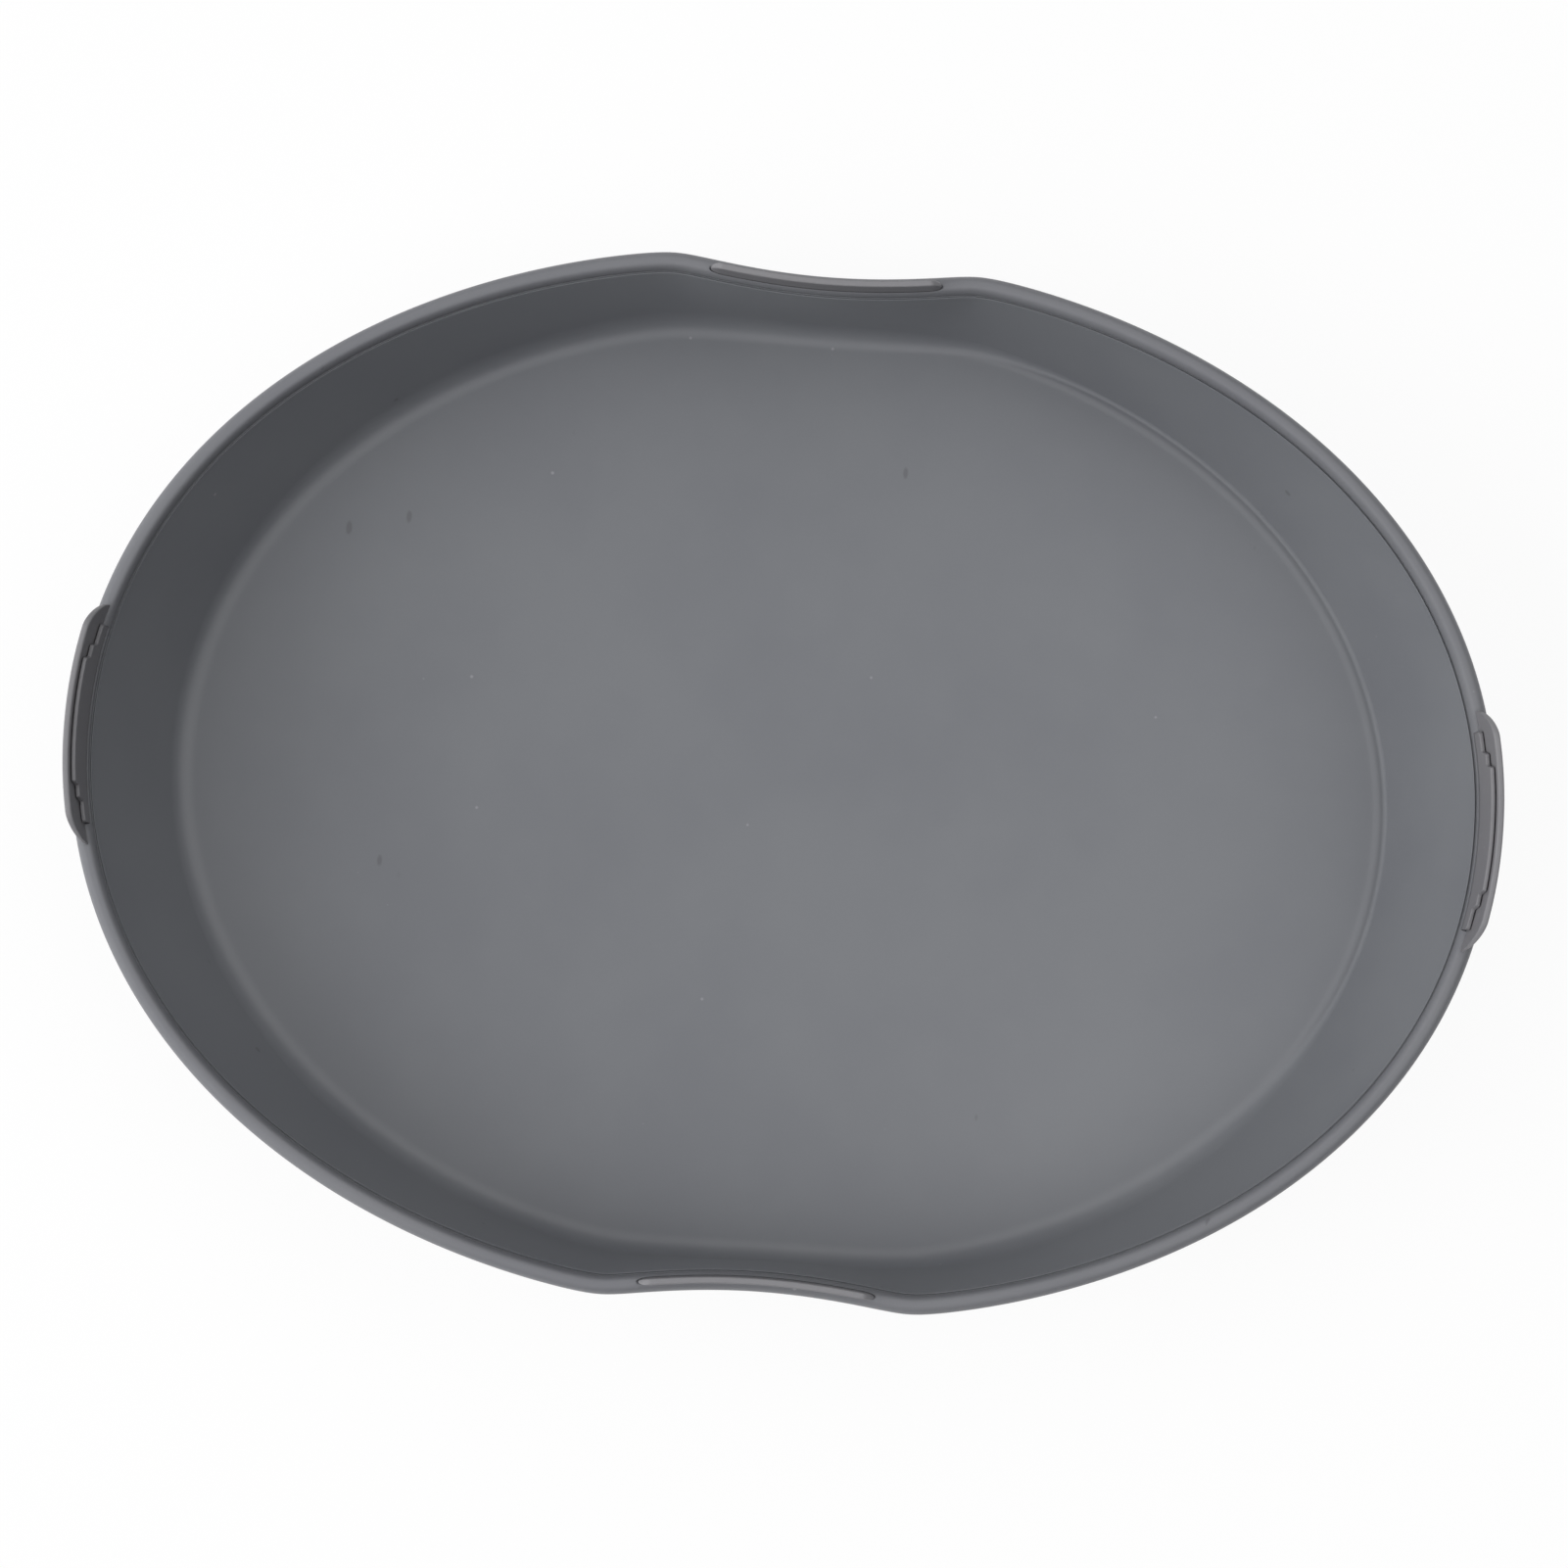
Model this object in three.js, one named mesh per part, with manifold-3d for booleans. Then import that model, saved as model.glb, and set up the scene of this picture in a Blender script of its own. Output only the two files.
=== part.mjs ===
// Oval silicone steam pan: a soft shell with a wire-stiffened rim, drawn in at a waist on each long side so
// that steam can pass, with a low grip fin in each waist and a flexible ear at each end.
// Millimetres, +X along the pan, +Y to the back, +Z up. The origin is under the middle of the floor, on the
// surface that the pan stands on.

import * as THREE from 'three';
import Module from 'manifold-3d';

const wasm = await Module();
wasm.setup();

// Rim, over the outside of its bead and before the waists are drawn in
const rimLength = 330;
const rimWidth = 248.2;
const rimHeight = 40;
const rimPower = 2.07;

// Waists
const waistLength = 69.6;
const waistDepth = 6;
const waistEasing = 1.6;
const backWaistShift = 0.9;
const frontWaistShift = 2.8;

// Floor and wall
const floorThickness = 2;
const footPower = 2;
const footWaistDepth = 3.4;
const wallThickness = 2;
const endWallRun = 14.65;
const sideWallRun = 3.45;
const filletRadius = 6.5;

// Rim bead: the wire lies between the shell's flange and the cap
const wireDiameter = 2;
const beadWall = 0.95;
const crownThickness = 1.9;
const flangeWeb = 1;
const wallStep = 0.25;
const clearance = 0.3;

// Ears
const earLength = 57;
const earHeight = 12.5;
const earThickness = 1.5;
const earLean = 0.5;
const earCornerRun = 7;
const earTipHeight = 1;
const earTipThickness = 0.8;
const earEdge = 0.5;

// Stepped stop plates
const plateThickness = 0.8;
const plateInset = 0.6;
const plateLowLength = 47.2;
const plateMidLength = 36.4;
const plateTopLength = 29.4;
const plateStepRise = 3.7;
const plateStepDraft = 0.4;
const plateSeatDepth = 1.7;
const plateEdge = 0.15;

// Grip fins, a little inside the bead's middle
const finLength = 53.2;
const finHeight = 5.5;
const finThickness = 1.5;
const finEndRun = 3;
const finEdge = 0.4;
const finShift = 0.5;
const slotWeb = 0.8;

// Fineness of the curves
const ringSteps = 144;
const sideCrowding = 0.3;
const arcSteps = 3;
const domeSteps = 6;
const wireSides = 6;
const endSteps = 5;
const runSteps = 12;
const tipAngle = Math.PI / 12;
const angleStep = 0.001;

// Sizes that follow from these
const wireRadius = wireDiameter / 2;
const grooveRadius = wireRadius + clearance;
const grooveEdge = Math.asin(clearance / 2 / grooveRadius);
const beadWidth = 2 * (grooveRadius + beadWall);
const beadMiddle = beadWidth / 2;
const wallInset = beadWidth + wallStep;
const wireHeight = rimHeight - crownThickness - grooveRadius;
const capBottom = wireHeight + clearance / 2;
const flangeTop = wireHeight - clearance / 2;
const flangeBottom = wireHeight - grooveRadius - flangeWeb;
const seatHeight = rimHeight + clearance;
const plateInnerInset = beadWidth - plateInset;
const plateOuterInset = plateInnerInset - plateThickness;
const plateBottom = rimHeight - plateSeatDepth + clearance;
const earInnerInset = plateOuterInset - clearance;
const earOuterInset = earInnerInset - earThickness;
const finMiddle = beadMiddle + finShift;
const slotBottom = wireHeight + grooveRadius + slotWeb;
const aboveEverything = rimHeight + crownThickness;

const rim = {
  halfLength: rimLength / 2,
  halfWidth: rimWidth / 2,
  power: rimPower,
  waistDepth: waistDepth,
};
const wallFoot = {
  halfLength: rim.halfLength - wallInset - endWallRun,
  halfWidth: rim.halfWidth - wallInset - sideWallRun,
  power: footPower,
  waistDepth: footWaistDepth,
};

// Plan curves

function signedPower(value, power) {
  return Math.sign(value) * Math.abs(value) ** power;
}

// How far a waist lies to the right of the pan's middle, on the back or the front side
function waistShift(side) {
  return side > 0 ? backWaistShift : frontWaistShift;
}

// How far a waist draws the long side in at x: a parabola that eases into the oval at its ends
function waistDip(x, side, depth) {
  const along = (x - waistShift(side)) / (waistLength / 2);
  const parabola = depth * (1 - along * along);
  return (parabola + Math.hypot(parabola, waistEasing)) / 2;
}

// Point on a level's outline at the angle t, anticlockwise from the right end
function outline(level, t) {
  const x = level.halfLength * signedPower(Math.cos(t), 2 / level.power);
  const y = level.halfWidth * signedPower(Math.sin(t), 2 / level.power);
  const side = Math.sin(t);
  return new THREE.Vector2(x, y - side * waistDip(x, side, level.waistDepth));
}

function rimNormal(t) {
  const ahead = outline(rim, t + angleStep);
  const behind = outline(rim, t - angleStep);
  return new THREE.Vector2(ahead.y - behind.y, behind.x - ahead.x).normalize();
}

// Point at a distance inside the rim's outer edge
function rimPoint(t, inset, z) {
  const edge = outline(rim, t).addScaledVector(rimNormal(t), -inset);
  return new THREE.Vector3(edge.x, edge.y, z);
}

// Angle on the rim at the distance s from the middle of the right end
function endAngle(s) {
  return Math.asin(signedPower(s / rim.halfWidth, rim.power / 2));
}

// Angle on the rim at the distance s from the middle of a waist, back or front
function sideAngle(s, side) {
  const x = waistShift(side) - side * s;
  return side * Math.acos(signedPower(x / rim.halfLength, rim.power / 2));
}

// Angles round the pan, closer together along the sides, where the waists bend
const ringAngles = Array.from({ length: ringSteps }, (_, k) => {
  const turn = (k / ringSteps) * 2 * Math.PI;
  return turn + (sideCrowding / 2) * Math.sin(2 * turn);
});

function ring(place) {
  return ringAngles.map(place);
}

// Solids

// Closed skin through rings of points that run anticlockwise. Each ring joins the next. Capped skins are
// closed by a fan at both end rings, and in the others the last ring joins the first.
function skin(rings, capped) {
  const count = rings[0].length;
  const points = rings.flat();
  const faces = [];
  const bands = capped ? rings.length - 1 : rings.length;
  for (let band = 0; band < bands; band++) {
    const here = band * count;
    const there = ((band + 1) % rings.length) * count;
    for (let k = 0; k < count; k++) {
      const next = (k + 1) % count;
      faces.push(here + k, there + k, there + next);
      faces.push(here + k, there + next, here + next);
    }
  }
  if (capped) {
    addCap(points, faces, rings[0], 0, false);
    addCap(points, faces, rings.at(-1), bands * count, true);
  }
  const geometry = new THREE.BufferGeometry().setFromPoints(points);
  geometry.setIndex(new THREE.Uint32BufferAttribute(faces, 1));
  return geometry;
}

function addCap(points, faces, end, start, turned) {
  const middle = new THREE.Vector3();
  end.forEach((point) => middle.addScaledVector(point, 1 / end.length));
  const hub = points.push(middle) - 1;
  for (let k = 0; k < end.length; k++) {
    const next = (k + 1) % end.length;
    if (turned) {
      faces.push(hub, start + next, start + k);
    } else {
      faces.push(hub, start + k, start + next);
    }
  }
}

function toSolid(geometry) {
  const vertProperties = geometry.getAttribute('position').array;
  const triVerts = geometry.getIndex().array;
  return new wasm.Manifold(new wasm.Mesh({ numProp: 3, vertProperties, triVerts }));
}

function toGeometry(solid) {
  const mesh = solid.getMesh();
  const geometry = new THREE.BufferGeometry();
  geometry.setAttribute('position', new THREE.BufferAttribute(mesh.vertProperties, 3));
  geometry.setIndex(new THREE.BufferAttribute(mesh.triVerts, 1));
  return geometry;
}

// Points of an arc in the rim's section, from one angle to another, as insets and heights
function sectionArc(inset, z, reach, rise, from, to, steps) {
  return Array.from({ length: steps + 1 }, (_, k) => {
    const angle = from + ((to - from) * k) / steps;
    return { inset: inset - reach * Math.cos(angle), z: z + rise * Math.sin(angle) };
  });
}

// Ring round the whole rim for each point of a section
function sectionRings(section) {
  return section.map(({ inset, z }) => ring((t) => rimPoint(t, inset, z)));
}

// Pan shell

// Rings of the fillet between a level face and the wall over it. The offset moves the wall outwards from the
// inside of the shell, and the wall rises to the height of its top.
function filletRings(offset, z, topHeight, steps) {
  return Array.from({ length: steps + 1 }, (_, k) => ring((t) => {
    const normal = rimNormal(t);
    const outward = new THREE.Vector3(normal.x, normal.y, 0);
    const foot = outline(wallFoot, t);
    const corner = new THREE.Vector3(foot.x, foot.y, z).addScaledVector(outward, offset);
    const up = rimPoint(t, wallInset - offset, topHeight).sub(corner).normalize();
    const reach = (filletRadius + offset) * Math.tan(outward.angleTo(up) / 2);
    const start = corner.clone().addScaledVector(outward, -reach);
    const end = corner.clone().addScaledVector(up, reach);
    return new THREE.QuadraticBezierCurve3(start, corner, end).getPoint(k / steps);
  }));
}

function panShell() {
  const inside = filletRings(0, floorThickness, flangeTop, arcSteps);
  const flange = sectionRings([
    { inset: wallInset, z: flangeTop },
    ...sectionArc(beadMiddle, wireHeight, grooveRadius, grooveRadius, grooveEdge - Math.PI, -grooveEdge, arcSteps),
    ...sectionArc(wallInset - wallThickness, flangeTop, wallInset - wallThickness, flangeTop - flangeBottom,
      0, -Math.PI / 2, arcSteps),
  ]);
  const outside = filletRings(wallThickness, 0, flangeBottom, arcSteps).reverse();
  return skin([...inside, ...flange, ...outside], true);
}

// Rim wire and rim cap

function rimWire() {
  const section = sectionArc(beadMiddle, wireHeight, wireRadius, wireRadius, Math.PI, -Math.PI, wireSides);
  return skin(sectionRings(section.slice(0, wireSides)), false);
}

function rimCap() {
  const dome = sectionArc(beadMiddle, capBottom, beadMiddle, rimHeight - capBottom, Math.PI, 0, domeSteps);
  const groove = sectionArc(beadMiddle, wireHeight, grooveRadius, grooveRadius,
    grooveEdge, Math.PI - grooveEdge, arcSteps);
  let cap = toSolid(skin(sectionRings([...dome, ...groove]), false));
  const cutters = [
    gripFin(1, clearance),
    gripFin(-1, clearance),
    plateSeat(),
    plateSeat().rotateZ(Math.PI),
  ];
  for (const cutter of cutters) {
    cap = cap.subtract(toSolid(cutter));
  }
  return toGeometry(cap);
}

// Pieces that stand on the rim

// Places along a piece with rounded ends. The lift goes from its start at the tips to 1 along the middle.
function places(length, endRun, firstAngle) {
  const straight = length / 2 - endRun;
  const end = Array.from({ length: endSteps }, (_, k) => {
    const angle = firstAngle + ((Math.PI / 2 - firstAngle) * k) / endSteps;
    return { s: straight + endRun * Math.cos(angle), lift: Math.sin(angle) };
  });
  const middle = Array.from({ length: runSteps + 1 }, (_, k) => {
    return { s: straight * ((2 * k) / runSteps - 1), lift: 1 };
  });
  const start = end.map(({ s, lift }) => ({ s: -s, lift }));
  return [...start, ...middle, ...end.reverse()];
}

// Upright section between two insets and two heights, with its top edges eased and its top leaning outwards
function uprightSection(t, outerInset, innerInset, bottom, top, edge, lean = 0) {
  return [
    rimPoint(t, outerInset, bottom),
    rimPoint(t, outerInset - lean, top - edge),
    rimPoint(t, outerInset - lean + edge, top),
    rimPoint(t, innerInset - lean - edge, top),
    rimPoint(t, innerInset - lean, top - edge),
    rimPoint(t, innerInset, bottom),
  ];
}

// Flap that is lower and thinner towards its tips
function ear() {
  const middle = (earOuterInset + earInnerInset) / 2;
  const sections = places(earLength, earCornerRun, 0).map(({ s, lift }) => {
    const top = seatHeight + earTipHeight + (earHeight - earTipHeight) * lift;
    const thickness = earTipThickness + (earThickness - earTipThickness) * lift;
    const outer = middle - thickness / 2;
    const inner = middle + thickness / 2;
    const edge = (earEdge * thickness) / earThickness;
    return uprightSection(endAngle(s), outer, inner, seatHeight, top, edge, earLean * lift);
  });
  return skin(sections, true);
}

// Top of the stop plate as distances along it and heights above the rim, from its middle to one end
const plateProfile = [
  { s: plateTopLength / 2, rise: 3 * plateStepRise },
  { s: plateTopLength / 2 + plateStepDraft, rise: 2 * plateStepRise },
  { s: plateMidLength / 2, rise: 2 * plateStepRise },
  { s: plateMidLength / 2 + plateStepDraft, rise: plateStepRise },
  { s: plateLowLength / 2, rise: plateStepRise },
];

function stopPlate() {
  const ends = plateProfile.map(({ s, rise }) => ({ s: -s, rise })).reverse();
  const middle = Array.from({ length: runSteps - 1 }, (_, k) => {
    return { s: (plateTopLength / 2) * ((2 * (k + 1)) / runSteps - 1), rise: 3 * plateStepRise };
  });
  const sections = [...ends, ...middle, ...plateProfile].map(({ s, rise }) => {
    const top = rimHeight + rise;
    return uprightSection(endAngle(s), plateOuterInset, plateInnerInset, plateBottom, top, plateEdge);
  });
  return skin(sections, true);
}

// Rebate in the cap's inner shoulder that the stop plate stands in
function plateSeat() {
  const halfLength = plateLowLength / 2 + clearance;
  const innerInset = beadWidth + clearance;
  const sections = Array.from({ length: runSteps + 1 }, (_, k) => {
    const t = endAngle(halfLength * ((2 * k) / runSteps - 1));
    return uprightSection(t, earInnerInset, innerInset, plateBottom - clearance, aboveEverything, 0);
  });
  return skin(sections, true);
}

// Grip fin that is lower and thinner towards its tips, or with a clearance the slot that it stands in
function gripFin(side, margin) {
  const halfThickness = finThickness / 2 + margin;
  const bottom = slotBottom + clearance - margin;
  const sections = places(finLength + 2 * margin, finEndRun + margin, tipAngle).map(({ s, lift }) => {
    const half = halfThickness * lift;
    const top = rimHeight + finHeight * lift;
    return uprightSection(sideAngle(s, side), finMiddle - half, finMiddle + half, bottom, top, finEdge * lift);
  });
  return skin(sections, true);
}

// Materials and assembly

const silicone = new THREE.MeshStandardMaterial({ color: 0x67686d, roughness: 0.7, flatShading: true });
const rimSilicone = new THREE.MeshStandardMaterial({ color: 0x6e6f74, roughness: 0.65, flatShading: true });
const gripSilicone = new THREE.MeshStandardMaterial({ color: 0x7b7b7e, roughness: 0.6, flatShading: true });
const steel = new THREE.MeshStandardMaterial({ color: 0xb4b7ba, roughness: 0.35, metalness: 1 });

function piece(name, geometry, material) {
  const mesh = new THREE.Mesh(geometry, material);
  mesh.name = name;
  return mesh;
}

// Ear and stop plate of one end, made at the right end and turned round to the left
function panEnd(side, turn) {
  const group = new THREE.Group();
  group.add(piece(`${side}_ear`, ear(), gripSilicone));
  group.add(piece(`${side}_stop_plate`, stopPlate(), gripSilicone));
  group.rotation.z = turn;
  return group;
}

const pan = new THREE.Group();
pan.add(piece('pan_shell', panShell(), silicone));
pan.add(piece('rim_wire', rimWire(), steel));
pan.add(piece('rim_cap', rimCap(), rimSilicone));
pan.add(piece('front_grip_fin', gripFin(-1, 0), gripSilicone));
pan.add(piece('back_grip_fin', gripFin(1, 0), gripSilicone));
pan.add(panEnd('right', 0));
pan.add(panEnd('left', Math.PI));

export default pan;
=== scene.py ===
import math

import bpy
import numpy as np
from mathutils import Matrix, Vector


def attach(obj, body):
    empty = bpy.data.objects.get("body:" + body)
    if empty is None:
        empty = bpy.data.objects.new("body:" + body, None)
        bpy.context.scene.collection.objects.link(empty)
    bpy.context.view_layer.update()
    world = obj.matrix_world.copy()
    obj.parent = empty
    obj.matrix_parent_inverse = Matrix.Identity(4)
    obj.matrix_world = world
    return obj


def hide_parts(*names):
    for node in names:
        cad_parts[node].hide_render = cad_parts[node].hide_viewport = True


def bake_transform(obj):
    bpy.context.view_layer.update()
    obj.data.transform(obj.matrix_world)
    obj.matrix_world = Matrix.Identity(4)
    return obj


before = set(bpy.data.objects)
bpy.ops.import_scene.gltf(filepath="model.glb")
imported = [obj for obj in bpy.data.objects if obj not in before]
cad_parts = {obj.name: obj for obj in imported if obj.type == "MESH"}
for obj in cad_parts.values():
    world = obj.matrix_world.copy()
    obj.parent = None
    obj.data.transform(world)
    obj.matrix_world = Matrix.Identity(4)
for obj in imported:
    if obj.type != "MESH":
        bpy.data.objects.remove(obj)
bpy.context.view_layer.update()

# Looks of an oval silicone steam pan: fine surfaces over the CAD solids, silicone and steel materials, a pale
# floor, soft light and the camera. Sizes are in millimetres, and the meshes are made in metres.

MM = 0.001

# Distances between the mesh's points along the rim, and how far round an edge they are set closer
SHELL_SPACING = 1.0
WIRE_SPACING = 2.0
CAP_SPACING = 0.9
CAP_FINE_SPACING = 0.1
CAP_FINE_REACH = 3.2
SLOT_FRINGE = 0.1
SEAT_FRINGE = 0.06

# Rim and waists
RIM_LENGTH = 330.0
RIM_WIDTH = 248.2
RIM_HEIGHT = 40.0
RIM_POWER = 2.07
WAIST_LENGTH = 69.6
WAIST_DEPTH = 6.0
WAIST_EASING = 1.6
BACK_WAIST_SHIFT = 0.9
FRONT_WAIST_SHIFT = 2.8

# Floor and wall
FLOOR_THICKNESS = 2.0
FOOT_POWER = 2.0
FOOT_WAIST_DEPTH = 3.4
WALL_THICKNESS = 2.0
END_WALL_RUN = 14.65
SIDE_WALL_RUN = 3.45
END_FILLET_RUN = 4.0
END_FILLET_RISE = 3.6
SIDE_FILLET_RUN = 4.6
SIDE_FILLET_RISE = 8.0
BASE_FILLET_RADIUS = 8.5
VERGE = 5.4

# Where the floor's edge is crisper, to the right: a low ridge inside a tighter fillet
CRISP_AZIMUTH = 22.0
CRISP_EDGE_COSINE = 0.4
CRISP_FULL_COSINE = 0.8
CRISP_FILLET_RUN = 1.0
CRISP_FILLET_RISE = 1.2
RIDGE_HEIGHT = 0.13
RIDGE_INSET = 1.8
RIDGE_HALF_WIDTH = 1.7

# Painted highlight and painted light on the floor: a pale line along the floor's edge for a highlight, and a
# pale pool of light on the floor's front right
EDGE_HIGHLIGHT = 0.06
EDGE_HIGHLIGHT_INSET = 2.4
EDGE_HIGHLIGHT_WIDTH = 1.2
LIGHT_POOL = 0.07
LIGHT_POOL_MIDDLE = (70.0, -78.0)
LIGHT_POOL_WIDTH = 40.0

# Rim bead
WIRE_RADIUS = 1.0
GROOVE_RADIUS = 1.3
BEAD_WIDTH = 4.5
BEAD_MIDDLE = BEAD_WIDTH / 2
BEAD_OUTER_POWER = 2.2
BEAD_INNER_POWER = 3.0
WALL_INSET = 4.75
WIRE_HEIGHT = 36.8
CAP_BOTTOM = 36.8
FLANGE_TOP = 36.65
FLANGE_BOTTOM = 34.5
SEAM_GAP = 0.1
SEAM_EASING = 0.18
SEAM_CORNER_SHARE = 0.3
FLANGE_SWEEP = 0.42 * math.pi
UNDERCUT_RADIUS = 0.8

# Crease between the bead and the wall: the bead's side, the groove's floor, and the wall's rounded lip
CREASE_INSET = 4.22
CREASE_FLOOR = 36.5
LIP = ((4.9, 36.0), (4.87, 36.4), (4.81, 36.57), (4.73, 36.66), (4.66, 36.69), (4.6, 36.66), (4.57, 36.61))
GROOVE = ((4.55, 36.56), (4.49, 36.47), (4.32, 36.44), (4.18, 36.47), (4.1, 36.56), (4.0, 36.65))

# Ears
EAR_LENGTH = 57.0
EAR_HEIGHT = 12.5
EAR_FOOT = 40.3
EAR_MIDDLE_INSET = 2.05
EAR_TIP_INSET = 2.7
EAR_THICKNESS = 1.5
EAR_LEAN = 0.4
EAR_CORNER_RUN = 7.0
EAR_TIP_HEIGHT = 0.2
EAR_TIP_THICKNESS = 0.4
EAR_CORNER_POWER = 1.7
EAR_EDGE = 0.5
EAR_ROOT = 39.0
EAR_FLARE = 0.5
EAR_FLARE_HEIGHT = 0.7

# Stop plates
PLATE_OUTER_INSET = 3.0
PLATE_INNER_INSET = 3.9
PLATE_BOTTOM = 38.35
PLATE_HALF_LENGTHS = (14.7, 18.2, 23.6)
PLATE_STEP_RISE = 3.7
PLATE_STEP_DRAFT = 0.4
PLATE_STEP_EASING = 0.3
PLATE_END_RADIUS = 0.8
PLATE_EDGE = 0.2
PLATE_LEAN = 0.3
SEAT_INSET = 2.95
SEAT_HALF_LENGTH = 23.7
SEAT_HEIGHT = 38.3
SEAT_EASING = 0.1

# Grip fins
FIN_LENGTH = 53.2
FIN_HALF_THICKNESS = 0.75
FIN_HEIGHT = 5.5
FIN_END_RUN = 3.0
FIN_TIP_ANGLE = 0.08
FIN_BOTTOM = 39.0
FIN_EDGE = 0.4
FIN_SHIFT = 0.5
FIN_MIDDLE = BEAD_MIDDLE + FIN_SHIFT
SLOT_GAP = 0.06
SLOT_FLOOR = 39.2
SLOT_EASING = 0.15

# Painted light on the grips: their top edges are made paler, as if lit more than their sides
GRIP_TOP_LIGHT = 0.2
GRIP_TOP_LIGHT_DEPTH = 0.6

RIM = (RIM_LENGTH / 2, RIM_WIDTH / 2, RIM_POWER, WAIST_DEPTH)
FOOT = (
    RIM_LENGTH / 2 - WALL_INSET - END_WALL_RUN,
    RIM_WIDTH / 2 - WALL_INSET - SIDE_WALL_RUN,
    FOOT_POWER,
    FOOT_WAIST_DEPTH,
)


# Plan curves

def signed_power(value, power):
    return np.sign(value) * np.abs(value) ** power


def smooth(share):
    share = np.clip(share, 0, 1)
    return share * share * (3 - 2 * share)


def waist_shift(side):
    """How far a waist lies to the right of the pan's middle, on the back or the front side."""
    return np.where(side > 0, BACK_WAIST_SHIFT, FRONT_WAIST_SHIFT)


def waist_dip(x, side, depth):
    """How far a waist draws the long side in: a parabola that eases into the oval at its ends."""
    along = (x - waist_shift(side)) / (WAIST_LENGTH / 2)
    parabola = depth * (1 - along * along)
    return (parabola + np.hypot(parabola, WAIST_EASING)) / 2


def outline(level, t):
    half_length, half_width, power, waist_depth = level
    x = half_length * signed_power(np.cos(t), 2 / power)
    y = half_width * signed_power(np.sin(t), 2 / power)
    side = np.sin(t)
    return np.stack([x, y - side * waist_dip(x, side, waist_depth)], axis=-1)


def rim_normal(t):
    ahead = outline(RIM, t + 0.001)
    behind = outline(RIM, t - 0.001)
    along = ahead - behind
    normal = np.stack([along[..., 1], -along[..., 0]], axis=-1)
    return normal / np.linalg.norm(normal, axis=-1, keepdims=True)


def rim_point(t, inset, z):
    """Points at a distance inside the rim's outer edge."""
    edge = outline(RIM, t) - rim_normal(t) * np.asarray(inset)[..., None]
    return np.concatenate([edge, np.broadcast_to(z, edge.shape[:-1])[..., None]], axis=-1)


def end_angle(s):
    """Angle on the rim at the distance s from the middle of the right end."""
    return np.arcsin(signed_power(s / RIM[1], RIM_POWER / 2))


def side_angle(s, side):
    """Angle on the rim at the distance s from the middle of a waist, back or front."""
    return side * np.arccos(signed_power((waist_shift(side) - side * s) / RIM[0], RIM_POWER / 2))


def even_angles(spacing):
    """Angles round the pan at even distances along the rim."""
    t = np.linspace(0, 2 * np.pi, 20001)
    lengths = np.linalg.norm(np.diff(outline(RIM, t), axis=0), axis=1)
    along = np.concatenate([[0], np.cumsum(lengths)])
    count = int(along[-1] / spacing)
    return np.interp(np.arange(count) * along[-1] / count, along, t)


# Mesh making

def make_mesh(name, points, faces, material):
    mesh = bpy.data.meshes.new(name)
    mesh.from_pydata((points * MM).tolist(), [], faces)
    mesh.polygons.foreach_set("use_smooth", [True] * len(mesh.polygons))
    mesh.materials.append(material)
    piece = bpy.data.objects.new(name, mesh)
    bpy.context.scene.collection.objects.link(piece)
    normals = piece.modifiers.new("even_normals", "WEIGHTED_NORMAL")
    normals.weight = 80
    return piece


def skin(name, rings, capped, material, painted_light=0.0):
    """Closed skin through rings of points that run anticlockwise. Capped skins end in a fan at both end
    rings, and in the others the last ring joins the first. Painted light, a paler colour that stands for
    light, is one share for all points or one for each of them."""
    rings = np.asarray(rings)
    bands, count = rings.shape[:2]
    points = rings.reshape(-1, 3)
    here = np.arange(count)
    after = (here + 1) % count
    faces = []
    for band in range(bands - 1 if capped else bands):
        low = band * count
        high = (band + 1) % bands * count
        quads = np.stack([low + here, high + here, high + after, low + after], axis=1)
        faces.extend(quads.tolist())
    if capped:
        hub = len(points)
        points = np.concatenate([points, rings[[0, -1]].mean(axis=1)])
        last = (bands - 1) * count
        faces.extend(np.stack([np.full(count, hub), here, after], axis=1).tolist())
        faces.extend(np.stack([np.full(count, hub + 1), last + after, last + here], axis=1).tolist())
    piece = make_mesh(name, points, faces, material)
    shares = np.zeros(len(points))
    shares[:bands * count] = np.broadcast_to(painted_light, (bands, count)).ravel()
    piece.data.attributes.new("painted_light", "FLOAT", "POINT").data.foreach_set("value", shares)
    return piece


def section_arc(inset, z, reach, rise, start, stop, steps):
    angle = np.linspace(start, stop, steps + 1)
    return list(zip(inset - reach * np.cos(angle), z + rise * np.sin(angle)))


def ride(piece, body, node):
    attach(piece, body)
    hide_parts(node)


# Pan shell

def wall_corner(t, offset, z, top_height):
    """Corner of a level face and the wall over it, the way outwards and the way up the wall. The offset moves
    the wall outwards from the inside of the shell."""
    flat = np.zeros(t.shape)
    outward = np.concatenate([rim_normal(t), flat[:, None]], axis=1)
    corner = np.concatenate([outline(FOOT, t), flat[:, None] + z], axis=1) + outward * offset
    up = rim_point(t, flat + WALL_INSET - offset, top_height) - corner
    return corner, outward, up / np.linalg.norm(up, axis=1, keepdims=True)


def between(first, last, shares):
    return [first + (last - first) * share for share in shares]


def bend(start, corner, end, steps):
    shares = np.linspace(0, 1, steps + 1)
    return [start * (1 - k) ** 2 + corner * 2 * k * (1 - k) + end * k * k for k in shares]


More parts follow.
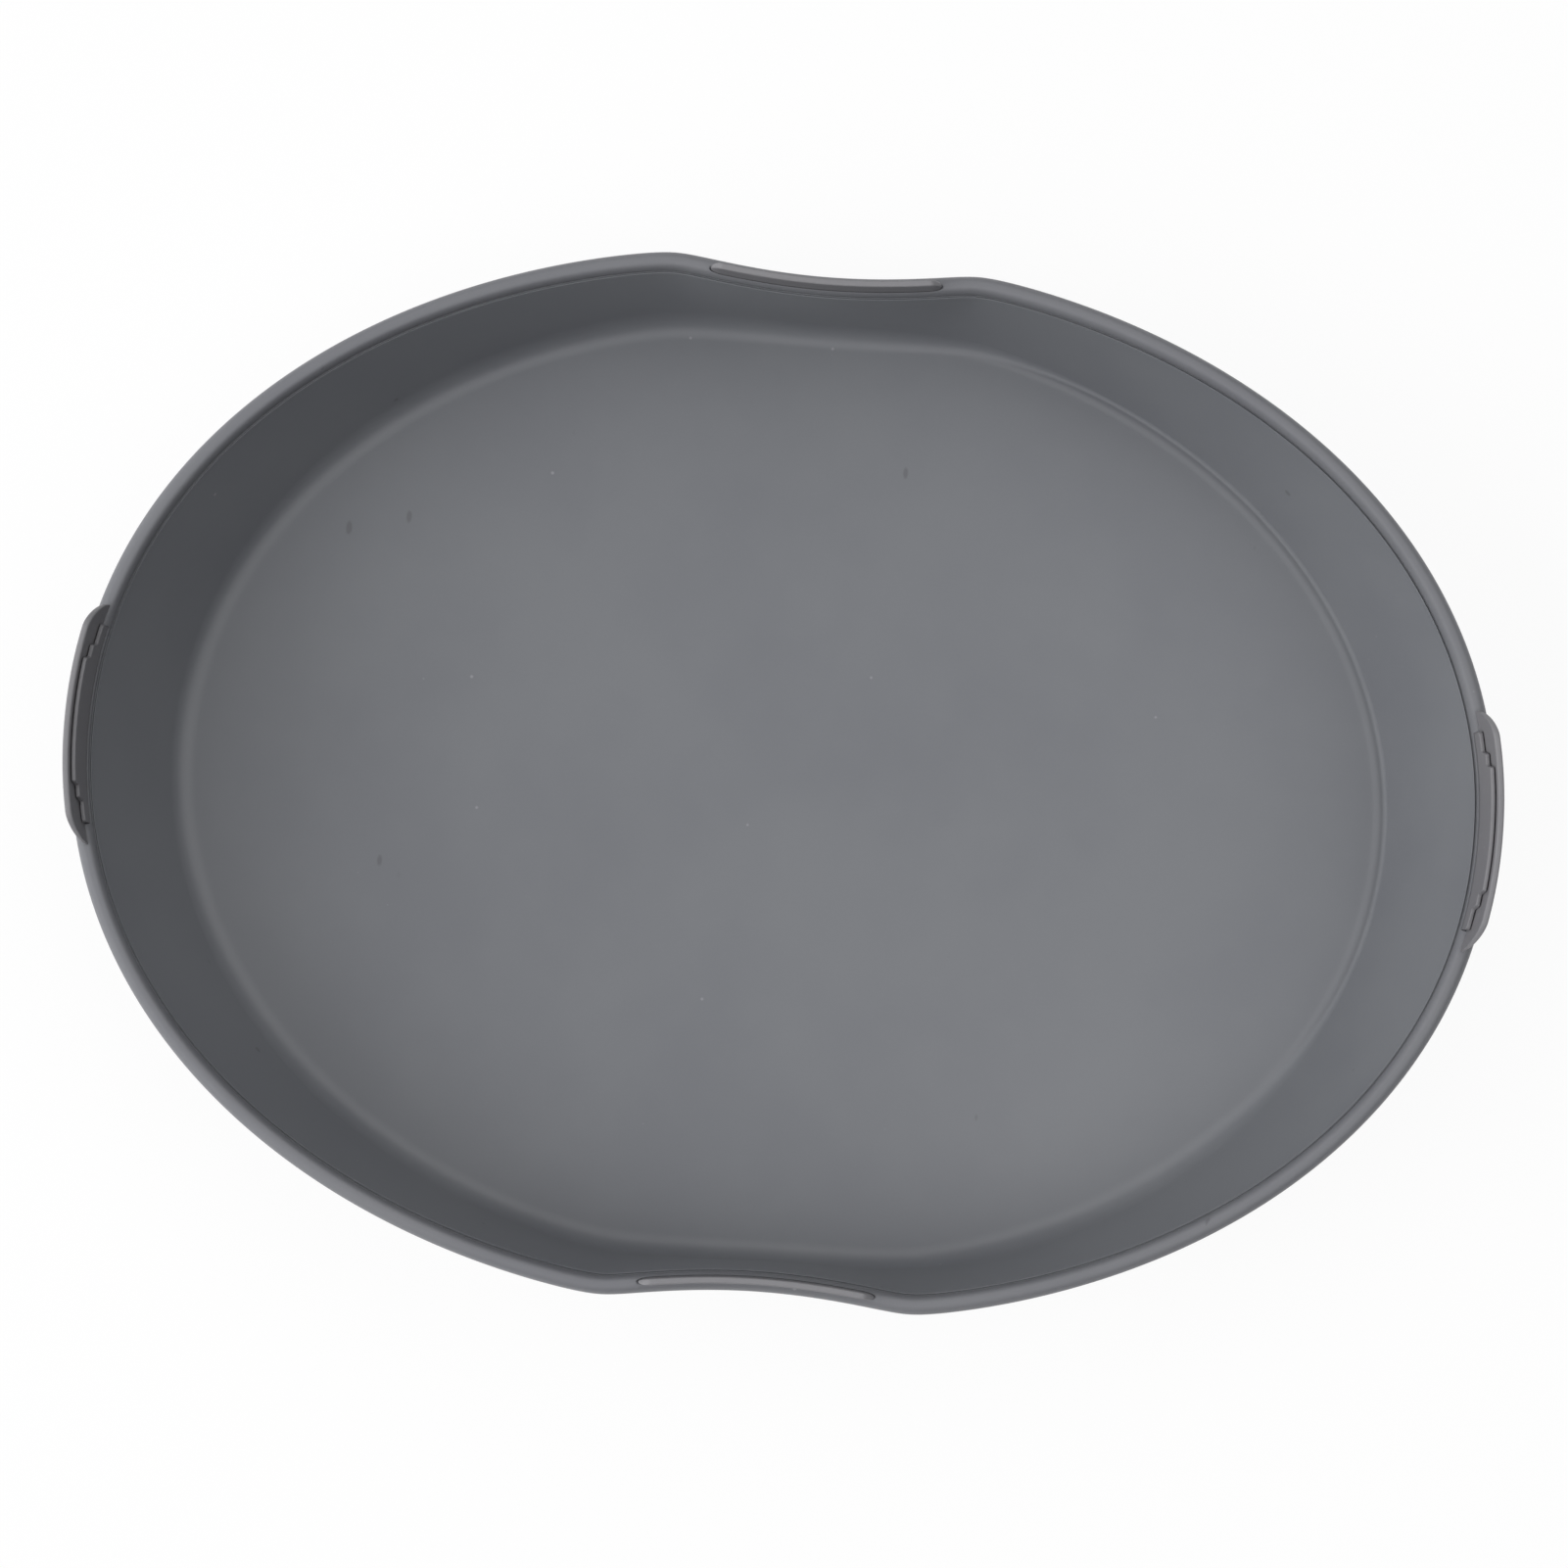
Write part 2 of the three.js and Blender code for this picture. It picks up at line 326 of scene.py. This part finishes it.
def inner_fillet(t):
    """Rings from the floor's verge up to the wall, and how far each point lies inside the wall's foot. The
    bend starts tightly at the floor and eases into the long sides."""
    corner, outward, up = wall_corner(t, 0, FLOOR_THICKNESS, FLANGE_TOP)
    share = np.sin(t)[:, None] ** 2
    toward = np.cos(t - math.radians(CRISP_AZIMUTH))
    crisp = smooth((toward - CRISP_EDGE_COSINE) / (CRISP_FULL_COSINE - CRISP_EDGE_COSINE))[:, None]
    run = END_FILLET_RUN + (SIDE_FILLET_RUN - END_FILLET_RUN) * share
    rise = END_FILLET_RISE + (SIDE_FILLET_RISE - END_FILLET_RISE) * share
    run += (CRISP_FILLET_RUN - run) * crisp
    rise += (CRISP_FILLET_RISE - rise) * crisp
    start = corner - outward * run
    verge = between(corner - outward * VERGE, start, np.linspace(0, 1, 17)[:-1])
    rings = np.array(verge + bend(start, corner, corner + up * rise, 24))
    from_foot = np.sum((corner - rings) * outward, axis=2)
    across = np.clip((from_foot - RIDGE_INSET) / RIDGE_HALF_WIDTH, -1, 1)
    rings[..., 2] += RIDGE_HEIGHT * crisp[:, 0] * (1 + np.cos(np.pi * across)) / 2
    return list(rings), from_foot


def outer_fillet(t):
    """Rings from the underside up to the outside of the wall."""
    corner, outward, up = wall_corner(t, WALL_THICKNESS, 0, FLANGE_BOTTOM)
    turn = np.arccos(np.sum(outward * up, axis=1, keepdims=True))
    reach = BASE_FILLET_RADIUS * np.tan(turn / 2)
    return bend(corner - outward * reach, corner, corner + up * reach, 14)


def shell_rings():
    t = even_angles(SHELL_SPACING)
    flat = np.zeros(t.shape)

    def level(inset, z):
        return rim_point(t, flat + inset, z)

    inside, from_foot = inner_fillet(t)
    floor_middle = inside[0] * [0, 0, 1]
    floor = between(floor_middle, inside[0], [0.02, 0.15, 0.3, 0.45, 0.6, 0.75, 0.88, 0.96, 0.99])
    wall = between(inside[-1], level(*LIP[0]), [0.03, 0.12, 0.25, 0.4, 0.55, 0.7, 0.85, 0.96])
    groove_edge = math.asin((WIRE_HEIGHT - FLANGE_TOP) / GROOVE_RADIUS)
    flange = list(LIP + GROOVE)
    flange += section_arc(BEAD_MIDDLE, WIRE_HEIGHT, GROOVE_RADIUS, GROOVE_RADIUS,
                          groove_edge - math.pi, -groove_edge, 8)
    seam_corner = SEAM_EASING * SEAM_CORNER_SHARE
    flange += [(SEAM_EASING, FLANGE_TOP), (seam_corner, FLANGE_TOP - seam_corner)]
    outer_inset = WALL_INSET - WALL_THICKNESS
    drop = FLANGE_TOP - SEAM_EASING - FLANGE_BOTTOM
    flange += section_arc(outer_inset, FLANGE_TOP - SEAM_EASING, outer_inset, drop, 0, -FLANGE_SWEEP, 9)
    below = outer_fillet(t)
    under = level(outer_inset - UNDERCUT_RADIUS, FLANGE_BOTTOM)
    corner = level(outer_inset, FLANGE_BOTTOM)
    down = below[-1] - corner
    down /= np.linalg.norm(down, axis=1, keepdims=True)
    joint = corner + down * UNDERCUT_RADIUS
    undercut = bend(under, corner, joint, 4)
    outer_wall = between(joint, below[-1], [0.03, 0.15, 0.3, 0.45, 0.6, 0.75, 0.88, 0.97])
    base_middle = below[0] * [0, 0, 1]
    base = between(below[0], base_middle, [0.01, 0.04, 0.2, 0.5, 0.8, 0.98])
    rings = floor + inside + wall + [level(inset, z) for inset, z in flange]
    # Shares of painted light for each point of the shell: a paler colour that stands for light
    painted_light = np.zeros((len(rings) + len(undercut + outer_wall + below + base), len(t)))
    # Painted highlight: a pale line along the floor's edge, a little inside the wall's foot
    off_line = (from_foot - EDGE_HIGHLIGHT_INSET) / EDGE_HIGHLIGHT_WIDTH
    painted_light[len(floor):len(floor) + len(inside)] = EDGE_HIGHLIGHT * np.exp(-off_line ** 2)
    # Painted light: a pale pool of light on the floor's front right
    from_light_pool = np.array(floor + inside)[..., :2] - LIGHT_POOL_MIDDLE
    painted_light[:len(floor + inside)] += LIGHT_POOL * np.exp(-np.sum(from_light_pool ** 2, axis=2) / LIGHT_POOL_WIDTH ** 2)
    return rings + undercut + outer_wall + below[::-1] + base, painted_light


# Rim wire and rim cap

def wire_rings():
    t = even_angles(WIRE_SPACING)
    angle = -np.linspace(0, 2 * np.pi, 16, endpoint=False)
    flat = np.zeros(t.shape)
    section = zip(BEAD_MIDDLE + WIRE_RADIUS * np.cos(angle), WIRE_HEIGHT + WIRE_RADIUS * np.sin(angle))
    return [rim_point(t, flat + inset, z) for inset, z in section]


def cap_angles():
    """Even steps, with fine ones at the ends of the fin slots and of the plate seats."""
    fine = np.arange(-CAP_FINE_REACH, CAP_FINE_REACH + CAP_FINE_SPACING / 10, CAP_FINE_SPACING)
    near = [even_angles(CAP_SPACING)]
    for end in (-1, 1):
        near.append(side_angle(fine + end * FIN_LENGTH / 2, 1))
        near.append(side_angle(fine + end * FIN_LENGTH / 2, -1))
        near.append(end_angle(fine + end * SEAT_HALF_LENGTH))
        near.append(end_angle(fine + end * SEAT_HALF_LENGTH) + np.pi)
    return np.unique(np.round(np.mod(np.concatenate(near), 2 * np.pi), 5))


def bead_height(across, half, foot, power):
    """Height of the bead's rounded top at a distance from its middle line."""
    share = 1 - min(abs(across) / half, 1) ** power
    return foot + (RIM_HEIGHT - foot) * share ** (1 / power)


def cap_top(t, across):
    """Height of the cap's top at a distance across the bead, with the slots and the plate seats let in."""
    if across > 0:
        z = bead_height(across, CREASE_INSET - BEAD_MIDDLE, CREASE_FLOOR, BEAD_INNER_POWER)
    else:
        z = bead_height(across, BEAD_MIDDLE, CAP_BOTTOM, BEAD_OUTER_POWER)
    along_side = RIM[0] * signed_power(np.cos(t), 2 / RIM_POWER) - waist_shift(np.sin(t))
    beyond = np.maximum(np.abs(along_side) - (FIN_LENGTH / 2 - FIN_END_RUN), 0)
    off_fin = np.hypot(beyond * FIN_HALF_THICKNESS / FIN_END_RUN, across - FIN_SHIFT)
    in_slot = FIN_HALF_THICKNESS + SLOT_GAP - off_fin
    z = z - np.maximum(z - SLOT_FLOOR, 0) * smooth(in_slot / SLOT_EASING + 0.5)
    along_end = RIM[1] * np.abs(signed_power(np.sin(t), 2 / RIM_POWER))
    in_seat = np.minimum(across - (SEAT_INSET - BEAD_MIDDLE), SEAT_HALF_LENGTH - along_end)
    return z - np.maximum(z - SEAT_HEIGHT, 0) * smooth(in_seat / SEAT_EASING + 0.5)


def cap_rings():
    t = cap_angles()
    turn = np.sin(np.linspace(0, np.pi / 2, 25))
    outer = -BEAD_MIDDLE * turn ** (2 / BEAD_OUTER_POWER)
    inner = (CREASE_INSET - BEAD_MIDDLE) * turn ** (2 / BEAD_INNER_POWER)
    slot_edge = FIN_HALF_THICKNESS + SLOT_GAP + np.linspace(-SLOT_FRINGE, SLOT_FRINGE, 9)
    seat_edge = SEAT_INSET - BEAD_MIDDLE + np.linspace(-SEAT_FRINGE, SEAT_FRINGE, 5)
    edges = [FIN_SHIFT + slot_edge, FIN_SHIFT - slot_edge, seat_edge]
    across = np.unique(np.round(np.concatenate([outer, inner, *edges]), 3))
    rings = []
    for x in across[::-1]:
        rings.append(rim_point(t, np.full(t.shape, BEAD_MIDDLE + x), cap_top(t, x)))
    seam = FLANGE_TOP + SEAM_GAP
    groove_edge = math.asin((seam - WIRE_HEIGHT) / GROOVE_RADIUS)
    under = [(SEAM_EASING, seam)]
    under += section_arc(BEAD_MIDDLE, WIRE_HEIGHT, GROOVE_RADIUS, GROOVE_RADIUS,
                         groove_edge, math.pi - groove_edge, 8)
    under += [(CREASE_INSET - SEAM_EASING, seam)]
    return rings + [rim_point(t, np.full(t.shape, inset), z) for inset, z in under]


# Pieces that stand on the rim

def rounded_top(outer, inner, top, edge, steps):
    """Section from the outer face over the rounded top to the inner face, as insets and heights."""
    section = section_arc(outer + edge, top - edge, edge, edge, 0, math.pi / 2, steps)
    return section + section_arc(inner - edge, top - edge, edge, edge, math.pi / 2, math.pi, steps)


def sections_at(t, sections):
    rings = []
    for angle, section in zip(t, sections):
        insets, heights = np.asarray(section).T
        rings.append(rim_point(np.full(insets.shape, angle), insets, heights))
    return rings


def ear_rings():
    corner = np.linspace(0, np.pi / 2, 28)
    straight = EAR_LENGTH / 2 - EAR_CORNER_RUN
    tips = straight + EAR_CORNER_RUN * np.cos(corner) ** (2 / EAR_CORNER_POWER)
    climb = np.sin(corner) ** (2 / EAR_CORNER_POWER)
    run = np.linspace(-straight, straight, 61)[1:-1]
    s = np.concatenate([-tips, run, tips[::-1]])
    lift = np.concatenate([climb, np.ones(run.shape), climb[::-1]])
    sections = []
    for share in lift:
        height = EAR_TIP_HEIGHT + (EAR_HEIGHT - EAR_TIP_HEIGHT) * share
        middle = EAR_TIP_INSET + (EAR_MIDDLE_INSET - EAR_TIP_INSET) * share
        half = (EAR_TIP_THICKNESS + (EAR_THICKNESS - EAR_TIP_THICKNESS) * share) / 2
        edge = EAR_EDGE * 2 * half / EAR_THICKNESS
        crown = rounded_top(middle - half, middle + half, EAR_FOOT + height, edge, 6)
        rise = np.linspace(EAR_ROOT, EAR_FOOT + height - edge, 22)[:-1]
        flare = EAR_FLARE * np.exp(-(rise - EAR_ROOT) / EAR_FLARE_HEIGHT)
        outer = list(zip(middle - half - flare, rise))
        inner = list(zip(np.full(rise.shape, middle + half), rise))
        section = np.array(outer + crown + inner[::-1])
        section[:, 0] -= EAR_LEAN * share * np.clip((section[:, 1] - EAR_FOOT) / EAR_HEIGHT, 0, 1)
        sections.append(section)
    return sections_at(end_angle(s), sections)


def plate_rings():
    ease = np.linspace(0, 1, 9)
    s = [0.0]
    rise = [3 * PLATE_STEP_RISE]
    for step, half_length in enumerate(PLATE_HALF_LENGTHS[:2]):
        s += list(half_length - PLATE_STEP_EASING + (PLATE_STEP_DRAFT + 2 * PLATE_STEP_EASING) * ease)
        rise += list((3 - step - smooth(ease)) * PLATE_STEP_RISE)
    end = PLATE_HALF_LENGTHS[2]
    s += list(end - PLATE_END_RADIUS * (1 - np.sin(ease * np.pi / 2)))
    rise += list(PLATE_STEP_RISE - PLATE_END_RADIUS * (1 - np.cos(ease * np.pi / 2)))
    fine = np.unique(np.concatenate([np.arange(0, end, 0.7), s]))
    height = np.interp(fine, s, rise)
    along = np.concatenate([-fine[:0:-1], fine])
    sections = []
    for top in np.concatenate([height[:0:-1], height]) + RIM_HEIGHT:
        crown = rounded_top(PLATE_OUTER_INSET, PLATE_INNER_INSET, top, PLATE_EDGE, 4)
        rise_line = np.linspace(PLATE_BOTTOM, top - PLATE_EDGE, 12)[:-1]
        outer = [(PLATE_OUTER_INSET, z) for z in rise_line]
        inner = [(PLATE_INNER_INSET, z) for z in rise_line[::-1]]
        section = np.array(outer + crown + inner)
        section[:, 0] -= PLATE_LEAN * np.clip((section[:, 1] - RIM_HEIGHT) / (3 * PLATE_STEP_RISE), 0, 1)
        sections.append(section)
    return sections_at(end_angle(along), sections)


def fin_rings(side):
    turn = np.linspace(FIN_TIP_ANGLE, np.pi / 2, 20)
    straight = FIN_LENGTH / 2 - FIN_END_RUN
    tips = straight + FIN_END_RUN * np.cos(turn)
    run = np.linspace(-straight, straight, 61)[1:-1]
    s = np.concatenate([-tips, run, tips[::-1]])
    lift = np.concatenate([np.sin(turn), np.ones(run.shape), np.sin(turn)[::-1]])
    sections = []
    for share in lift:
        half = FIN_HALF_THICKNESS * share
        top = RIM_HEIGHT + FIN_HEIGHT * share
        crown = rounded_top(FIN_MIDDLE - half, FIN_MIDDLE + half, top, FIN_EDGE * share, 6)
        rise = np.linspace(FIN_BOTTOM, top - FIN_EDGE * share, 12)[:-1]
        outer = [(FIN_MIDDLE - half, z) for z in rise]
        inner = [(FIN_MIDDLE + half, z) for z in rise[::-1]]
        sections.append(outer + crown + inner)
    return sections_at(side_angle(s, side), sections)


def grip(name, rings):
    """Piece that stands on the rim, with painted light on the top edge of each section: a paler colour there.
    """
    rings = np.asarray(rings)
    below_top = rings[..., 2].max(axis=1, keepdims=True) - rings[..., 2]
    return skin(name, rings, True, grip_silicone, GRIP_TOP_LIGHT * smooth(1 - below_top / GRIP_TOP_LIGHT_DEPTH))


def turned(rings):
    """The same rings half a turn round the pan."""
    return np.asarray(rings) * [-1, -1, 1]


# Materials

def linear(level):
    level = level / 255
    return level / 12.92 if level <= 0.04045 else ((level + 0.055) / 1.055) ** 2.4


def colour(red, green, blue):
    return (linear(red), linear(green), linear(blue), 1)


class Nodes:
    """Shader nodes of one tree, made and linked by name."""

    def __init__(self, tree):
        self.tree = tree
        tree.nodes.clear()

    def add(self, kind, settings=None, **sockets):
        made = self.tree.nodes.new(kind)
        for name, value in (settings or {}).items():
            setattr(made, name, value)
        for name, value in sockets.items():
            self.put(made.inputs[name.replace("_", " ")], value)
        return made

    def put(self, socket, value):
        if isinstance(value, bpy.types.NodeSocket):
            self.tree.links.new(value, socket)
        else:
            socket.default_value = value

    def math(self, operation, first, second):
        made = self.add("ShaderNodeMath", {"operation": operation})
        self.put(made.inputs[0], first)
        self.put(made.inputs[1], second)
        return made.outputs[0]

    def mix(self, share, first, second):
        made = self.add("ShaderNodeMix", {"data_type": "RGBA"})
        self.put(made.inputs["Factor"], share)
        self.put(made.inputs["A"], first)
        self.put(made.inputs["B"], second)
        return made.outputs["Result"]

    def span(self, value, low, high, first, last):
        made = self.add("ShaderNodeMapRange", {"interpolation_type": "SMOOTHSTEP"})
        names = ("Value", "From Min", "From Max", "To Min", "To Max")
        for name, number in zip(names, (value, low, high, first, last)):
            self.put(made.inputs[name], number)
        return made.outputs[0]


# Pale colour of the specks of dust, and of the painted light on the floor's edge, the floor and the grips'
# tops
DUST_AND_PAINTED_LIGHT = colour(165, 165, 168)
MARK = colour(78, 78, 82)
NOISE_LOW = 0.3
NOISE_HIGH = 0.7
ROUGHNESS_SPREAD = 0.05


def spots(nodes, place, scale, rarity, size, strength):
    """Small soft spots in some of the cells of a random pattern."""
    cells = nodes.add("ShaderNodeTexVoronoi", Vector=place, Scale=scale, Randomness=1.0)
    chance = nodes.add("ShaderNodeSeparateColor", Color=cells.outputs["Color"])
    radius = nodes.span(chance.outputs["Red"], rarity, 1.0, 0.0, size)
    return nodes.span(nodes.math("SUBTRACT", radius, cells.outputs["Distance"]), 0.0, 0.1, 0.0, strength)


def silicone(name, deep, pale, roughness):
    """Matte moulded silicone: cloudy colour, a fine grain, specks of dust, faint dark marks, and painted
    light, a paler colour given per point by the mesh.
    """
    material = bpy.data.materials.new(name)
    material.use_nodes = True
    nodes = Nodes(material.node_tree)
    place = nodes.add("ShaderNodeTexCoord").outputs["Object"]
    cloud = nodes.add("ShaderNodeTexNoise", Vector=place, Scale=16.0, Detail=4.0, Roughness=0.6)
    grain = nodes.add("ShaderNodeTexNoise", Vector=place, Scale=1500.0, Detail=2.0, Roughness=0.5)
    speck = spots(nodes, place, scale=260.0, rarity=0.92, size=0.15, strength=0.45)
    stretched = nodes.add("ShaderNodeMapping", Vector=place, Scale=(1.0, 0.45, 1.0)).outputs["Vector"]
    mark = spots(nodes, stretched, scale=210.0, rarity=0.95, size=0.2, strength=0.5)
    painted_light_share = nodes.add("ShaderNodeAttribute", {"attribute_name": "painted_light"}).outputs["Fac"]
    cloudy = nodes.span(cloud.outputs["Fac"], NOISE_LOW, NOISE_HIGH, 0.0, 0.8)
    tone = nodes.math("ADD", cloudy, nodes.math("MULTIPLY", grain.outputs["Fac"], 0.3))
    clean = nodes.mix(mark, nodes.mix(tone, deep, pale), MARK)
    # Specks of dust, and painted light from the mesh's shares, mix the base towards the same pale colour
    base = nodes.mix(nodes.math("MAXIMUM", speck, painted_light_share), clean, DUST_AND_PAINTED_LIGHT)
    smoothest = roughness - ROUGHNESS_SPREAD
    roughest = roughness + ROUGHNESS_SPREAD
    rough = nodes.span(cloud.outputs["Fac"], NOISE_LOW, NOISE_HIGH, smoothest, roughest)
    bump = nodes.add("ShaderNodeBump", Strength=0.25, Distance=0.00006, Height=grain.outputs["Fac"])
    shader = nodes.add("ShaderNodeBsdfPrincipled", Base_Color=base, Roughness=rough)
    nodes.put(shader.inputs["Normal"], bump.outputs["Normal"])
    nodes.put(shader.inputs["Specular IOR Level"], 0.5)
    nodes.add("ShaderNodeOutputMaterial", Surface=shader.outputs["BSDF"])
    return material


def drawn_steel(name):
    """Stainless wire with fine lines round its section from drawing."""
    material = bpy.data.materials.new(name)
    material.use_nodes = True
    nodes = Nodes(material.node_tree)
    place = nodes.add("ShaderNodeTexCoord").outputs["Object"]
    stretched = nodes.add("ShaderNodeMapping", Vector=place, Scale=(60.0, 60.0, 4000.0))
    lines = nodes.add("ShaderNodeTexNoise", Vector=stretched.outputs["Vector"], Scale=1.0, Detail=3.0)
    base = nodes.mix(lines.outputs["Fac"], colour(168, 171, 174), colour(202, 205, 208))
    rough = nodes.span(lines.outputs["Fac"], NOISE_LOW, NOISE_HIGH, 0.24, 0.4)
    shader = nodes.add("ShaderNodeBsdfPrincipled", Base_Color=base, Roughness=rough, Metallic=1.0)
    nodes.add("ShaderNodeOutputMaterial", Surface=shader.outputs["BSDF"])
    return material


# The pan

shell_silicone = silicone("shell_silicone", colour(108, 110, 115), colour(115, 117, 121), 0.4)
rim_silicone = silicone("rim_silicone", colour(109, 110, 115), colour(116, 117, 121), 0.5)
grip_silicone = silicone("grip_silicone", colour(110, 109, 113), colour(117, 116, 119), 0.5)
wire_steel = drawn_steel("wire_steel")

# The shell's shares of painted light: a highlight line at the floor's edge and a pool of light on the floor
rings, painted_light = shell_rings()
ride(skin("shell_surface", rings, True, shell_silicone, painted_light), "pan", "pan_shell")
ride(skin("wire_hoop", wire_rings(), False, wire_steel), "pan", "rim_wire")
ride(skin("rim_bead", cap_rings(), False, rim_silicone), "pan", "rim_cap")
ride(grip("front_fin", fin_rings(-1)), "pan", "front_grip_fin")
ride(grip("back_fin", fin_rings(1)), "pan", "back_grip_fin")

for side, turn in (("right", np.asarray), ("left", turned)):
    plate = grip(f"{side}_plate", turn(plate_rings()))
    ride(plate, "pan", f"{side}_stop_plate")
    flap = grip(f"{side}_flap", turn(ear_rings()))
    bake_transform(flap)
    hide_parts(f"{side}_ear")


# Floor, light and camera, in metres and degrees

FLOOR_REACH = 4
FLOOR_DROP = 0.0004
FLOOR_COLOUR = (0.9, 0.9, 0.9, 1)
FLOOR_GLOW = 0.92
GLOW_START = 0.4
GLOW_FULL = 1.2
SKY_LOW = 0.1
SKY_HIGH = 1.0
SKY_START = 0.25
SKY_FULL = 0.8
CAMERA_TILT = 85.73
CAMERA_ROLL = 4.45
CAMERA_LENS = 85.5
CAMERA_TARGET = (0.0002, -0.0012, 0.037)
CAMERA_DISTANCE = 0.862
LAMP_SIZE = 2.6
LAMP_DISTANCE = 2.4

# Name, azimuth, elevation and power of each lamp
LAMPS = (
    ("left_low", 180, 20, 39.9),
    ("front_left_low", 211, 28, 31.4),
    ("front_left_high", 225, 60, 14.5),
    ("right_high", 0, 60, 23.8),
    ("back_low", 90, 40, 19.2),
)


def seen_directly(nodes):
    """1 for rays from the camera, and for those that are mirrored or let through, and 0 for the rest."""
    path = nodes.add("ShaderNodeLightPath").outputs
    seen = nodes.math("MAXIMUM", path["Is Camera Ray"], path["Is Glossy Ray"])
    return nodes.math("MAXIMUM", seen, path["Is Transmission Ray"])


def white_floor():
    """Pale floor that keeps the pan's shadow and is as white as the background away from it."""
    material = bpy.data.materials.new("white_floor")
    material.use_nodes = True
    nodes = Nodes(material.node_tree)
    lit = nodes.add("ShaderNodeBsdfDiffuse", Color=FLOOR_COLOUR)
    glow = nodes.add("ShaderNodeEmission", Color=(1, 1, 1, 1), Strength=1.0)
    place = nodes.add("ShaderNodeTexCoord").outputs["Object"]
    distance = nodes.add("ShaderNodeVectorMath", {"operation": "LENGTH"}, Vector=place).outputs["Value"]
    whiteness = nodes.span(distance, GLOW_START, GLOW_FULL, FLOOR_GLOW, 1.0)
    share = nodes.math("MULTIPLY", seen_directly(nodes), whiteness)
    mixed = nodes.add("ShaderNodeMixShader", Fac=share)
    nodes.put(mixed.inputs[1], lit.outputs[0])
    nodes.put(mixed.inputs[2], glow.outputs[0])
    nodes.add("ShaderNodeOutputMaterial", Surface=mixed.outputs[0])
    return material


def add_floor():
    mesh = bpy.data.meshes.new("floor")
    corners = [(x * FLOOR_REACH, y * FLOOR_REACH, 0) for x, y in ((-1, -1), (1, -1), (1, 1), (-1, 1))]
    mesh.from_pydata(corners, [], [(0, 1, 2, 3)])
    mesh.materials.append(white_floor())
    floor = bpy.data.objects.new("floor", mesh)
    floor.location.z = -FLOOR_DROP
    bpy.context.scene.collection.objects.link(floor)


def add_lamp(name, azimuth, elevation, power):
    """Large round soft lamp that looks at the pan from a compass direction, anticlockwise from the right."""
    turn = math.radians(azimuth)
    rise = math.radians(elevation)
    away = Vector((math.cos(turn) * math.cos(rise), math.sin(turn) * math.cos(rise), math.sin(rise)))
    lamp = bpy.data.lights.new(name, "AREA")
    lamp.shape = "DISK"
    lamp.size = LAMP_SIZE
    lamp.energy = power
    holder = bpy.data.objects.new(name, lamp)
    holder.visible_glossy = False
    holder.location = away * LAMP_DISTANCE
    holder.rotation_mode = "QUATERNION"
    holder.rotation_quaternion = away.to_track_quat("Z", "Y")
    bpy.context.scene.collection.objects.link(holder)


def set_world():
    """White for the camera, pale overhead and dark low down in what is mirrored, and no light on the rest."""
    world = bpy.data.worlds.new("studio")
    world.use_nodes = True
    nodes = Nodes(world.node_tree)
    path = nodes.add("ShaderNodeLightPath").outputs
    way = nodes.add("ShaderNodeSeparateXYZ", Vector=nodes.add("ShaderNodeTexCoord").outputs["Generated"])
    overhead = nodes.span(way.outputs["Z"], SKY_START, SKY_FULL, 0.0, 1.0)
    sky = nodes.mix(overhead, (SKY_LOW, SKY_LOW, SKY_LOW, 1), (SKY_HIGH, SKY_HIGH, SKY_HIGH, 1))
    mirrored = nodes.math("MAXIMUM", path["Is Glossy Ray"], path["Is Transmission Ray"])
    light = nodes.mix(mirrored, (0, 0, 0, 1), sky)
    shown = nodes.mix(path["Is Camera Ray"], light, (1, 1, 1, 1))
    back = nodes.add("ShaderNodeBackground", Color=shown, Strength=1.0)
    nodes.add("ShaderNodeOutputWorld", Surface=back.outputs[0])
    bpy.context.scene.world = world


def add_camera():
    """The photograph is taken from almost straight above, a little to the front, and turned."""
    tilt = math.radians(CAMERA_TILT)
    roll = math.radians(CAMERA_ROLL)
    back = Vector((0, -math.cos(tilt), math.sin(tilt)))
    level = Vector((1, 0, 0))
    over = back.cross(level)
    right = level * math.cos(roll) + over * math.sin(roll)
    up = over * math.cos(roll) - level * math.sin(roll)
    camera = bpy.data.cameras.new("camera")
    camera.sensor_width = 36
    camera.lens = CAMERA_LENS
    camera.clip_end = 20
    holder = bpy.data.objects.new("camera", camera)
    spot = Vector(CAMERA_TARGET) + back * CAMERA_DISTANCE
    turn = Matrix((right, up, back)).transposed().to_4x4()
    holder.matrix_world = Matrix.Translation(spot) @ turn
    bpy.context.scene.collection.objects.link(holder)
    bpy.context.scene.camera = holder


add_floor()
set_world()
for lamp in LAMPS:
    add_lamp(*lamp)
add_camera()
bpy.context.scene.view_settings.view_transform = "Standard"
